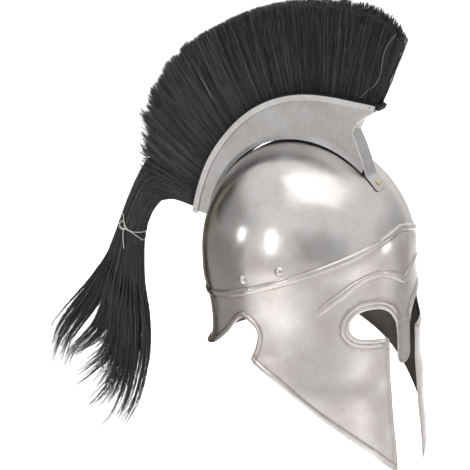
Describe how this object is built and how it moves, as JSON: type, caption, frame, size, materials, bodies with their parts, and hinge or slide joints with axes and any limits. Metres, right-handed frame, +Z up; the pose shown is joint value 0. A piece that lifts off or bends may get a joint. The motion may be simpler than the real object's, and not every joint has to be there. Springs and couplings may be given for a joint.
{
  "type": "greek helmet",
  "caption": "Steel crested helmet with cheek guards, nose guard, eye openings, a crest box, an upright black hair plume and a hanging tail.",
  "frame": {"origin": "inside of the bowl's crown on the mid-plane, where the top of the head touches it", "axes": "+Z up through the crown, -Y out of the face opening, -X towards the wearer's right"},
  "size_m": [0.2, 0.4466, 0.5235],
  "materials": {
    "polished_steel": "hand-polished, soft reflections, faint stains",
    "crest_sheet": "satin sheet, brighter edges",
    "brass": "polished",
    "brush_block": "matt black",
    "black_hair": "stiff black hair with a dull sheen",
    "white_string": "thin twisted string"
  },
  "bodies": {
    "root": {"helmet_shell": "polished_steel", "rivet_front_right": "polished_steel", "rivet_rear_right": "polished_steel", "rivet_front_left": "polished_steel", "rivet_rear_left": "polished_steel", "crest_plate_right": "crest_sheet", "crest_plate_left": "crest_sheet", "crest_channel": "crest_sheet", "crest_strap": "crest_sheet", "crest_pin_front_right": "crest_sheet", "crest_pin_front_left": "crest_sheet", "crest_pin_rear_right": "crest_sheet", "crest_pin_rear_left": "crest_sheet", "strap_screw": "brass", "brush_block": "brush_block", "plume": "black_hair", "plume_tail": "black_hair", "tail_tie": "white_string"}
  },
  "joints": []
}
